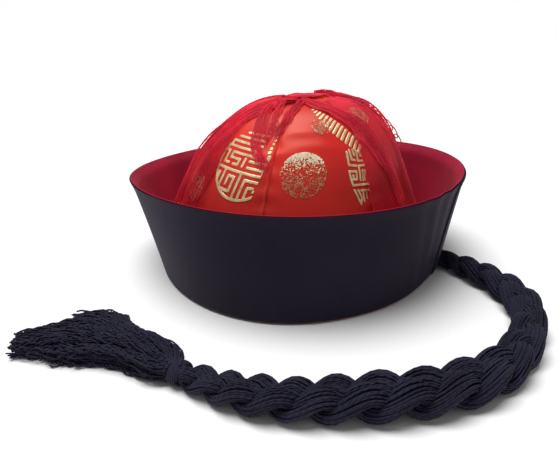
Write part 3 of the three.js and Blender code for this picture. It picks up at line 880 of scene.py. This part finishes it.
# A fret medallion as strokes on a grid of pitches, from its middle: bars above, keys between, combs below
RIM_ARC = [(6.6 * math.cos(a), 6.6 * math.sin(a)) for a in np.radians(np.linspace(150, 375, 40))]
FRET_STROKES = [
    [(-3.2, 6), (3.2, 6)], [(-4.8, 4.9), (4.8, 4.9)], [(-5.8, 3.8), (-0.7, 3.8)], [(0.7, 3.8), (5.8, 3.8)],
    [(-6.4, 2.7), (0.6, 2.7), (0.6, 1.6), (-4.2, 1.6), (-4.2, 0.5), (-1.9, 0.5), (-1.9, -0.6), (-3, -0.6)],
    [(-6.8, 1.6), (-5.3, 1.6), (-5.3, -0.6), (-4.1, -0.6)], [(-0.7, 0.9), (-0.7, -0.6)],
    [(6.4, 2.7), (1.7, 2.7), (1.7, 1.5), (0.5, 1.5)], [(0.4, 0.6), (4.6, 0.6), (4.6, 1.6), (3, 1.6)],
    [(6.8, 1), (6.8, -0.6), (0.5, -0.6)], [(-6.6, 0.4), (-6.5, -0.7)],
    [(-6.6, -1.7), (6.4, -1.7)], [(-6.2, -2.8), (-5.1, -2.8), (-5.1, -4.4)], [(0, -1.7), (0, -6.6)],
    [(-3.9, -1.7), (-3.9, -5.4), (-1.2, -5.4), (-1.2, -2.8), (-2.6, -2.8), (-2.6, -4.4)],
    [(4, -1.7), (4, -0.7)],
    [(1.2, -6.4), (1.2, -2.8), (5.9, -2.8), (5.2, -4.4), (3.7, -4.4)], [(2.4, -6), (2.4, -4), (3.4, -3.9)],
    RIM_ARC,
]
# The part of the right medallion that its seam leaves: a barred block, nested keys and a tapering foot
RIGHT_STROKES = [
    [(-2.2, 4.2), (-2.4, 1.8), (-0.5, 1.5)], [(-1.5, 4.5), (-1.4, 2.7), (-0.5, 2.5)],
    [(-0.6, 4.5), (-0.5, 3.4)], [(0.3, 4.2), (0.3, 2.3), (2.8, 2.2)], [(1.2, 3.9), (1.2, 3.2), (2.8, 3.1)],
    [(0.1, 1.4), (2.8, 1.3), (2.4, -2.1)], [(-2.6, 0.7), (-0.8, 0.5), (-1, -0.9), (-1.9, -0.8), (-1.8, -0.1)],
    [(-2.6, 0.7), (-2.6, -0.5), (-2.3, -1.8)], [(0.1, 1.4), (0, -1.2)], [(1, 0.5), (1.7, 0.4), (1.4, -1.3)],
    [(1, 0.5), (0.8, -1.3)], [(-1.9, -1.8), (2.4, -2.1)],
    [(-2.2, -2.6), (-1.1, -5.2), (-0.6, -4.1), (-1.2, -2.8)], [(0.1, -3), (0, -4.8)],
    [(-0.4, -2.9), (2.6, -3.2)], [(1.2, -3.4), (1.1, -4.4)],
]


def gold_finish(name, colour, metallic):
    """Gold foil: crinkled and rubbed, so that it breaks into brighter and browner patches."""
    material, tree, shader = new_finish(name, colour, roughness=0.4, Metallic=metallic)
    crinkle = noise_texture(tree, object_place(tree), scale=900.0, detail=3.0)
    rubbed_off = (0.72 * colour[0], 0.58 * colour[1], 0.45 * colour[2], 1)
    shade = cloudy(tree, scale=260.0, detail=4.0, low=(0.3, rubbed_off), high=(0.62, colour))
    dress(tree, shader, crinkle, strength=0.35, distance=0.0002, colour=shade)
    return material


def stroke_distance(x, y, strokes):
    """Distance from each point to the nearest of the strokes."""
    nearest = np.full(x.shape, 1.0)
    for stroke in strokes:
        for (ax, ay), (bx, by) in zip(stroke, stroke[1:]):
            long = (bx - ax) ** 2 + (by - ay) ** 2
            share = np.clip(((x - ax) * (bx - ax) + (y - ay) * (by - ay)) / long, 0, 1)
            nearest = np.minimum(nearest, np.hypot(x - ax - share * (bx - ax), y - ay - share * (by - ay)))
    return nearest


def rubbed(x, y, depth, size, seed):
    """Blotches of a size over a patch of foil, from about -depth to depth."""
    spots = [noise.fractal(Vector((a / size, b / size, seed)), 1, 2, 3) for a, b in zip(x.flat, y.flat)]
    return depth * np.array(spots).reshape(x.shape)


def fret_field(chart, squeeze=1, bare=(1, 1), right=1):
    """A fret medallion's gilded lines, from a chart on a grid of pitches.

    The corner beyond bare is left ungilded, and so is everything beyond right.
    """
    def field(x, y, seed):
        strokes = [[(a * FRET_PITCH * squeeze, b * FRET_PITCH) for a, b in stroke] for stroke in chart]
        line = FRET_WIDTH / 2 * squeeze - stroke_distance(x, y, strokes) + rubbed(x, y, *FRET_RAGGED, seed)
        gilded = np.minimum(MEDALLION_RADIUS - np.hypot(x, y), np.maximum(bare[0] - x, bare[1] - y))
        return np.minimum(np.minimum(line, gilded), right - x)
    return field


def leaf_field(radius, top_cover, foot_cover):
    """Fine curled leaves that fill a roundel, covering one share of it at the top and another at the foot."""
    def field(x, y, seed):
        down = np.clip(0.5 - 0.5 * y / radius, 0, 1)
        curls = []
        for a, b in zip(x.flat, y.flat):
            bend_x, bend_y = (CURL_AMOUNT * wobble(a / CURL_SPAN, b / CURL_SPAN, seed + way)
                              for way in (20, 40))
            curls.append(abs(wobble(a / LEAF_WIDE + bend_x, b / LEAF_HIGH + bend_y, seed)))
        cover = top_cover + (foot_cover - top_cover) * down ** 0.6
        inside = LEAF_DEPTH * (cover - np.array(curls).reshape(x.shape) + rubbed(x, y, 0.1, WORN_PATCH, seed))
        edge = (radius - np.hypot(x, y)) * 0.3 + rubbed(x, y, *ROUNDEL_RAGGED, seed + 1)
        return np.minimum(inside, edge)
    return field


def bar_field(half_length, half_width):
    """A plain short bar with round ends."""
    def field(x, y, seed):
        distance = stroke_distance(x, y, [[(0, -half_length), (0, half_length)]])
        return half_width - distance + rubbed(x, y, *BAR_RAGGED, seed)
    return field


def on_crown(centre, turn, x, y):
    """Angle and rise of a place on the satin, measured in metres from a motif's middle."""
    angle, rise = math.radians(centre[0]), centre[1]
    low, high = (crown_point(angle, rise + step, 0, False) for step in (-CROWN_STEP, CROWN_STEP))
    up = x * math.sin(turn) + y * math.cos(turn)
    side = x * math.cos(turn) - y * math.sin(turn)
    here = rise + up * 2 * CROWN_STEP / (high - low).length
    return angle + side / crown_radius(angle, here, crown_height(here)), here


def foil_shape(centre, turn, reach, field, seed, limits=EVERYWHERE, cell=FOIL_CELL):
    """Corners and faces of the gilded part of a grid, cut where the field crosses zero."""
    count = int(2 * reach / cell)
    steps = np.linspace(-reach, reach, count + 1)
    x, y = np.meshgrid(steps, steps)
    inside = field(x, y, seed)
    spots, places, faces = {}, [], []

    def corner(px, py):
        key = (round(px * 1e7), round(py * 1e7))
        if key not in spots:
            spots[key] = len(places)
            places.append(on_crown(centre, turn, px, py))
        return spots[key]

    for row in range(count):
        for column in range(count):
            ring = ((row, column), (row, column + 1), (row + 1, column + 1), (row + 1, column))
            if max(inside[r] for r in ring) <= 0:
                continue
            face = []
            for here, there in zip(ring, ring[1:] + ring[:1]):
                a, b = inside[here], inside[there]
                if a > 0:
                    face.append(corner(x[here], y[here]))
                if (a > 0) != (b > 0):
                    share = a / (a - b)
                    face.append(corner(*(v[here] + share * (v[there] - v[here]) for v in (x, y))))
            turned = [math.degrees(places[i][0]) for i in face]
            if len(set(face)) > 2 and limits[0] < min(turned) and max(turned) < limits[1]:
                faces.append(list(dict.fromkeys(face)))
    return places, faces


def press_foil(name, motifs, foil, lift=FOIL_LIFT):
    """One piece of foil from several motifs, each cut out and laid on the satin."""
    points, faces = [], []
    for motif in motifs:
        places, cuts = foil_shape(*motif)
        first = len(points)
        points += [crown_point(angle, rise, lift) for angle, rise in places]
        faces += [[first + i for i in face] for face in cuts]
    piece = new_piece(name, points, faces, foil)
    thick = piece.modifiers.new("thickness", "SOLIDIFY")
    thick.thickness = FOIL_THICK
    thick.offset = 1
    made_plain(piece)
    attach(piece, "root")
    return piece


def roundel(angle, rise, radius, covers, seed, cell=FINE_CELL):
    return (angle, rise), 0, radius, leaf_field(radius, *covers), seed, EVERYWHERE, cell


gold_foil = gold_finish("gold foil", FOIL_GOLD, metallic=0.5)
# A paler, less metallic foil that shows brighter, for the painted highlight, and a brown one for worn tone and
# painted shade
highlight_foil = gold_finish("painted highlight foil", HIGHLIGHT_GOLD, metallic=0.12)
worn_and_shaded_foil = gold_finish("worn and shaded foil", WORN_AND_SHADED_GOLD, metallic=0.2)
BAR_TRAIL = [(-83.5, 0.885), (-78, 0.848), (-73, 0.809), (-68, 0.775), (-62, 0.735), (-57, 0.70)]
BAR_COUNT = 14
BAR_TURN = math.radians(-40)
BAR_REACH = 0.0048
BAR_WIDTH = 0.0008
BAR_LENGTHS = (0.0004, 0.0033)
bar_line, bar_reach = centripetal_line([(math.radians(a), rise) for a, rise in BAR_TRAIL])
motifs = []
for i in range(BAR_COUNT):
    share = i / (BAR_COUNT - 1)
    angle, rise = on_line(bar_line, bar_reach, share * bar_reach[-1])
    half_length = BAR_LENGTHS[0] + BAR_LENGTHS[1] * math.sin(math.pi * 0.8 * share)
    motifs.append(((math.degrees(angle), rise), BAR_TURN, BAR_REACH, bar_field(half_length, BAR_WIDTH), i))
press_foil("foil_seam_bars", motifs, gold_foil)
# The bars beside the left seam: angle, rise, half length and half width
SLIVER = [(-109, 0.68, 0.0019, 0.0011), (-109.1, 0.706, 0.0003, 0.0009), (-108.7, 0.721, 0.0002, 0.0008),
          (-108.2, 0.735, 0.0002, 0.0007), (-107.7, 0.748, 0.0002, 0.0006), (-107.1, 0.762, 0.0001, 0.0006)]
press_foil("foil_left_sliver", [((angle, rise), math.radians(-20), 0.0045, bar_field(long, wide), 31)
                                for angle, rise, long, wide in SLIVER], gold_foil)
left_field = fret_field(FRET_STROKES, bare=(0.0048, 0.0044), right=0.0122)
press_foil("foil_left_medallion",
           [((-119.9, 0.664), math.radians(-8), MEDALLION_RADIUS, left_field, 1, (-400, -106.4))], gold_foil)
right_field = fret_field(RIGHT_STROKES, 0.8)
press_foil("foil_right_medallion",
           [((-60.9, 0.62), 0, MEDALLION_RADIUS, right_field, 3, (-400, -56.3))], gold_foil)
# The front roundel in three layers, paler at its top and browner at its foot as a painted highlight and painted
# shade: each with the shares covered at its top and foot, its foil and its lift
for name, covers, foil, lift in (("foil_front_shade", (0.05, 0.15), worn_and_shaded_foil, 0.5),
                                 ("foil_front_gold", (0.42, -0.15), gold_foil, 1),
                                 ("foil_front_highlight", (0.64, -0.48), highlight_foil, 1.5)):
    press_foil(name, [roundel(-90.2, 0.635, ROUNDEL_RADIUS, covers, 2)], foil, lift * FOIL_LIFT)
press_foil("foil_small_roundels", [
    roundel(-79.3, 0.798, 0.0059, (0.2, 0.17), 13), roundel(-33, 0.583, 0.006, (0.2, 0.17), 14),
    roundel(-51, 0.755, 0.0052, (0.2, 0.17), 15)], worn_and_shaded_foil)
motifs = [roundel(-41, 0.83, 0.0068, (0.25, 0.15), 9), roundel(-149, 0.56, 0.0088, (0.26, 0.28), 6)]
for middle in (37, 99, 161):
    motifs.append(((middle, 0.60), 0.1 * middle, MEDALLION_RADIUS, fret_field(FRET_STROKES), middle))
    motifs.append(roundel(middle + 20, 0.36, ROUNDEL_RADIUS, (0.4, 0.2), middle + 1, FOIL_CELL))
press_foil("foil_back_motifs", motifs, gold_foil)

# The net tassel
# A length of fine crimson net, gathered and tied at the crown's top. It falls over the satin as a thin veil,
# with folded bunches where it is drawn together, and its looped edge stands up on the right.
KNOT_RADIUS = 0.011
KNOT_HEIGHT = 0.0013
NET_LIFT = 0.0008
NET_THREAD = 0.00014
KNOT_THREAD = 0.000168
NET_SIDES = 3
CELL_WIDE = 0.0023
CELL_LONG = 0.0017
NET_SLACK = 1.12
RISE_WEIGHT = 1.6
LEAST_RADIUS = 0.012
NET_CRIMSON = (0.86, 0.02, 0.06, 1)
# Each bunch: its way over the crown as angle and rise, its width and thickness, how far it stands off and
# where along it stands off most, and how much net is gathered into it
NET_BUNCHES = [
    ([(-118, 0.955), (-140, 0.895), (-148, 0.84), (-152, 0.79), (-155, 0.735), (-158, 0.69)],
     0.019, 0.002, 0.0018, 0.22, 2.4),
    ([(-150, 0.9), (-164, 0.82), (-168, 0.76), (-171, 0.70), (-172, 0.655), (-171, 0.60), (-169, 0.54),
      (-168, 0.48)],
     0.006, 0.0014, 0.0042, 0.6, 2.6),
    ([(-150, 0.82), (-147, 0.74), (-146, 0.66), (-147, 0.57), (-149, 0.47)], 0.019, 0.0013, 0.0005, 0.5, 1.1),
    ([(-112, 0.97), (-131, 0.9), (-125, 0.83), (-120.5, 0.76), (-117, 0.715), (-112.5, 0.68), (-109, 0.655)],
     0.0078, 0.0028, 0.0004, 0.5, 2.5),
    ([(-97, 0.965), (-101, 0.907), (-104.5, 0.85), (-106.5, 0.8), (-107.5, 0.762)],
     0.0052, 0.0028, 0, 0, 2.8),
    ([(-112, 0.972), (-120, 0.925), (-116, 0.85), (-113, 0.79), (-114, 0.74)],
     0.004, 0.002, 0.0003, 0.5, 2.4),
    ([(-98, 0.962), (-84, 0.925), (-70, 0.88), (-58, 0.828), (-50, 0.778), (-46, 0.73), (-42.5, 0.68),
      (-39, 0.62), (-35, 0.56), (-33, 0.49)], 0.0125, 0.0026, 0.0008, 0.6, 2.1),
    ([(-30, 0.965), (-24, 0.9), (-22, 0.84), (-19, 0.77), (-17, 0.7), (-17, 0.62), (-18, 0.5)],
     0.006, 0.0013, 0.0004, 0.75, 1.5),
    ([(10, 0.96), (-5, 0.92), (-10, 0.87), (-13, 0.82), (-11, 0.77), (-9, 0.72), (-9, 0.67), (-11, 0.6)],
     0.0068, 0.002, 0.003, 0.6, 1.9),
    ([(20, 0.965), (26, 0.85), (27, 0.7), (24, 0.5)], 0.016, 0.0028, 0.002, 0.7, 2.2),
    ([(62, 0.965), (67, 0.85), (72, 0.7), (78, 0.46)], 0.014, 0.0025, 0.002, 0.7, 2.2),
    ([(104, 0.965), (109, 0.85), (110, 0.7), (108, 0.52)], 0.018, 0.0025, 0.002, 0.7, 2.2),
    ([(150, 0.965), (155, 0.85), (160, 0.7), (165, 0.48)], 0.016, 0.0025, 0.002, 0.7, 2.2),
]
BUNCH_LAYERS = 2
LAYER_SLIP = 0.12
FOLD_WIDTH = 0.006
LUMP_SIZE = 0.0024
HEM_WAVE = 0.035
SWELL_REACH = 0.24
SWELL_WAVE = 0.0005
VEIL_ANGLES = (-58, 222)
VEIL_RISES = (0.955, 0.47)
VEIL_CELLS = 140
VEIL_ROWS = 70
# Flutes of the veil: how many in a full turn, their swing sideways, the mean lift and their height
FLUTE_RATE = 17
FLUTE_SWING = 0.012
FLUTE_LIFT = 0.0012
FLUTE_HEIGHT = 0.0009
# Where the veil stands off: the middle and reach in degrees, and how far
LEFT_STAND = (205, 20, 0.0035)
RIGHT_STAND = (-8, 22, 0.0006)
KNOT_CELLS = 60
KNOT_ROWS = 16


def net_finish():
    material, tree, shader = new_finish(
        "crimson net", NET_CRIMSON, roughness=0.6, Sheen_Weight=0.15, Sheen_Roughness=0.4,
        Sheen_Tint=(1, 0.4, 0.4, 1), Specular_IOR_Level=0.3)
    shade = cloudy(tree, scale=60.0, detail=3.0,
                   low=(0.3, toned(NET_CRIMSON, 0.8)), high=(0.7, toned(NET_CRIMSON, 1.25)))
    tree.links.new(shade, shader.inputs["Base Color"])
    return material


def net_lines(across, down, place):
    """The zigzag threads of a diamond net on the surface that place(u, v) gives."""
    lines = []
    for column in range(across + 1):
        for way in (0.5, -0.5):
            line = []
            for row in range(down + 1):
                u = (column + way * (row % 2)) / across
                line.append(place(min(max(u, 0), 1), row / down))
            lines.append(line)
    return lines


def bunch_lines(bunch, luck):
    """The threads of one gathered bunch, in layers of soft folds with ragged edges."""
    trail, width, thick, stand, peak, gather = bunch
    line, reach = centripetal_line([(math.radians(a), rise * RISE_WEIGHT) for a, rise in trail])
    share = reach / reach[-1]
    spots = [crown_point(math.radians(a), rise, 0, False) for a, rise in trail]
    length = NET_SLACK * sum((there - here).length for here, there in zip(spots, spots[1:]))
    folds = 2 + int(width / FOLD_WIDTH)
    lump = LUMP_SIZE / width
    lines = []
    for layer in range(BUNCH_LAYERS):
        drift, slip = luck.uniform(0, 40), luck.uniform(-LAYER_SLIP, LAYER_SLIP)

        def place(u, v):
            angle, rise = on_line(line, share, v)
            rise = rise / RISE_WEIGHT - HEM_WAVE * v ** 3 * wobble(u * 9, drift, 3)
            bend = wobble(u * 2.5, v * 4, drift)
            crowd = u + 0.07 * wobble(u * 6, v * 7, drift + 5) * v
            fold = math.sin(math.tau * folds * crowd + 2.5 * bend + layer * 1.9)
            across = 2 * crowd - 1 + slip * v + 0.2 / folds * math.cos(math.tau * folds * crowd + layer)
            across *= 1 + (0.2 + 1.2 * lump) * wobble(v * 9, across, drift + 9)
            across += lump * wobble(v * 7, layer, drift + 3)
            half = width / 2 * (0.4 + 0.6 * min(1, 2 * v)) * (1 - 0.35 * v ** 4)
            ridge = thick * max(0.15, 1 - 0.7 * across ** 2) * (0.45 + 0.55 * min(1, 4 * v)) * (1 - 0.4 * v)
            swell = stand * math.exp(-((v - peak) / SWELL_REACH) ** 2)
            swell += SWELL_WAVE * wobble(v * 8, layer, drift)
            lift = NET_LIFT + max(0, swell) * (0.8 + 0.2 * across) + ridge * (0.55 + 0.45 * fold)
            radius = max(crown_radius(angle, rise, crown_height(rise)), LEAST_RADIUS)
            return crown_point(angle + across * half / radius, rise, lift, False)

        lines += net_lines(max(3, int(width * gather / CELL_WIDE)), int(length / CELL_LONG), place)
    return lines


def veil_place(u, v):
    """The loose veil: gathered at the knot, in soft flutes below, standing off at the left and the right."""
    angle = math.radians(VEIL_ANGLES[0] + (VEIL_ANGLES[1] - VEIL_ANGLES[0]) * u)
    hem = VEIL_RISES[1] + HEM_WAVE * wobble(u * 22, 0, 7) + 0.03 * math.sin(angle * 3)
    rise = VEIL_RISES[0] + (hem - VEIL_RISES[0]) * v ** 0.92
    flute = math.sin(angle * FLUTE_RATE + 2 * wobble(u * 12, v * 2, 1))
    left, right = (size * math.exp(-((math.degrees(angle) - middle) / reach) ** 2)
                   for middle, reach, size in (LEFT_STAND, RIGHT_STAND))
    lift = NET_LIFT + v * (FLUTE_LIFT + FLUTE_HEIGHT * flute) + left * v * v
    lift += right * math.sin(math.pi * min(1, 0.9 * v)) ** 0.8
    return crown_point(angle + FLUTE_SWING * flute * v, rise, lift, False)


def knot_place(u, v):
    """The knot: a flattened, crinkled ring of net round the tie."""
    around, over = math.tau * u, math.tau * v
    crumple = wobble(3 * math.cos(around), 3 * math.sin(around), math.cos(over) + 4)
    crease = 1 + 0.3 * crumple + 0.06 * math.sin(23 * around + 3 * over)
    out = KNOT_RADIUS * (0.56 + 0.42 * math.cos(over) * crease)
    height = CROWN_HEIGHT + NET_LIFT + KNOT_HEIGHT * (0.5 + 0.5 * math.sin(over) * crease)
    return Vector((BAND_CENTRE.x + CROWN_LEAN.x + out * math.cos(around),
                   BAND_CENTRE.y + CROWN_LEAN.y + out * math.sin(around), height))


def spin_net(name, lines, thread=NET_THREAD, sides=NET_SIDES):
    net_pieces.append(spin(name, lines, thread, sides, crimson_net))


crimson_net = net_finish()
net_luck = random.Random(23)
net_pieces = []
spin_net("net_veil", net_lines(VEIL_CELLS, VEIL_ROWS, veil_place))
for number, bunch in enumerate(NET_BUNCHES, 1):
    spin_net(f"net_bunch_{number}", bunch_lines(bunch, net_luck))
spin_net("net_knot", net_lines(KNOT_CELLS, KNOT_ROWS, knot_place), KNOT_THREAD)

# The net's looped edge and crest
# Small rings of crimson cord finish the net's edge. They stand in a row off the satin on the right, and a
# fold of net arches over the knot beside them.
STAND_WEIGHT = 20
# The edge's way over the crown: angle, rise, and how far its outer side stands off
EDGE_TRAIL = [
    (55, 0.985, 0.0034), (34, 0.975, 0.0040), (15, 0.961, 0.0038), (2, 0.946, 0.0030), (-3, 0.917, 0.0028),
    (-7, 0.887, 0.0026), (-13, 0.848, 0.0028), (-14, 0.804, 0.0036), (-11, 0.76, 0.0046),
    (-10, 0.726, 0.0056), (-10, 0.69, 0.0062), (-11, 0.65, 0.0062),
]
RINGS = 27
RING_STEPS = 17
RING_WIDE = 0.75
RING_HIGH = 0.0014
LEAST_LIFT = 0.0006
EDGE_CORD = 0.00038
EDGE_SIDES = 5
CREST_TRAIL = [(150, 0.982), (80, 0.984), (34, 0.975), (15, 0.961), (2, 0.946), (-3, 0.917), (-8, 0.887)]
CREST_CELLS = 16
CREST_ROWS = 34
CREST_ARCH = 0.0020
CREST_WIDTH = 0.0042
CREST_WAVE = 0.0008
edge_line, edge_reach = centripetal_line(
    [(math.radians(a), rise * RISE_WEIGHT, stand * STAND_WEIGHT) for a, rise, stand in EDGE_TRAIL])
edge_lines = []
for ring in range(RINGS):
    share = (ring + 0.5) / RINGS
    swell = RING_HIGH * (1 + 0.25 * math.sin(ring * 1.7) + 0.5 * share)
    loop = []
    for turn in np.linspace(0, math.tau, RING_STEPS):
        place = share + RING_WIDE / RINGS * math.cos(turn) * (1 + 0.15 * math.sin(ring * 2.9))
        angle, rise, stand = on_line(edge_line, edge_reach, place * edge_reach[-1])
        lift = max(LEAST_LIFT, stand / STAND_WEIGHT - swell * (1 - math.sin(turn)))
        loop.append(crown_point(angle + 0.02 * math.sin(ring + turn), rise / RISE_WEIGHT, lift, False))
    edge_lines.append(loop)
spin_net("net_looped_edge", edge_lines, EDGE_CORD, EDGE_SIDES)
crest_line, crest_reach = centripetal_line(
    [((1 - rise) * math.cos(math.radians(a)), (1 - rise) * math.sin(math.radians(a)))
     for a, rise in CREST_TRAIL], 8)


def crest_place(u, v):
    """The fold of net that arches from behind the knot down to the looped edge."""
    x, y = on_line(crest_line, crest_reach, v * crest_reach[-1])
    angle, rise = math.atan2(y, x), 1 - math.hypot(x, y)
    curl = math.pi * (u - 0.5) * 1.1
    arch = CREST_ARCH * math.sin(math.pi * v) ** 0.7
    lift = NET_LIFT + arch * math.cos(curl) + CREST_WAVE * math.sin(9 * v + 7 * u)
    side = CREST_WIDTH * math.sin(curl) * (0.5 + 0.5 * math.sin(math.pi * v))
    radius = max(crown_radius(angle, rise, crown_height(rise)), LEAST_RADIUS)
    return crown_point(angle + side / radius, rise, lift, False)


spin_net("net_crest", net_lines(CREST_CELLS, CREST_ROWS, crest_place))
for piece in net_pieces:
    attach(piece, "root")
    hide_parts("crown_tassel")

# Table top and light
# A plain white surface under one wide soft light from overhead, with a weak even light from all round, so
# that the satin glows near its top and the black cloth still shows its shape.
TABLE_HALF = 15
LIGHT_FROM = Vector((-0.18, 0.08, 1))
LIGHT_SPREAD = math.radians(44)
LIGHT_STRENGTH = 3.15
AIR_STRENGTH = 0.27
WHITE = (1, 1, 1, 1)
white_table, _, _ = new_finish("white table top", (0.9, 0.9, 0.9, 1), 0.95, Specular_IOR_Level=0.0)
table_corners = [(x * TABLE_HALF, y * TABLE_HALF, 0) for x, y in ((-1, -1), (1, -1), (1, 1), (-1, 1))]
table_top = new_piece("table_top", table_corners, [(0, 1, 2, 3)], white_table)

overhead = bpy.data.lights.new("overhead_light", "SUN")
overhead.angle = LIGHT_SPREAD
overhead.energy = LIGHT_STRENGTH
lamp = bpy.data.objects.new("overhead_light", overhead)
lamp.rotation_euler = (-LIGHT_FROM).to_track_quat("-Z", "Y").to_euler()
scene.collection.objects.link(lamp)
world = bpy.data.worlds.new("studio")
scene.world = world
world.use_nodes = True
air = world.node_tree
dim = air.nodes["Background"]
dim.inputs["Color"].default_value = WHITE
dim.inputs["Strength"].default_value = AIR_STRENGTH
backdrop = add_node(air, "ShaderNodeBackground", {"Color": WHITE, "Strength": 1.0})
seen = add_node(air, "ShaderNodeLightPath").outputs["Is Camera Ray"]
either = add_node(air, "ShaderNodeMixShader", {0: seen, 1: dim.outputs[0], 2: backdrop.outputs[0]})
air.links.new(either.outputs[0], air.nodes["World Output"].inputs["Surface"])
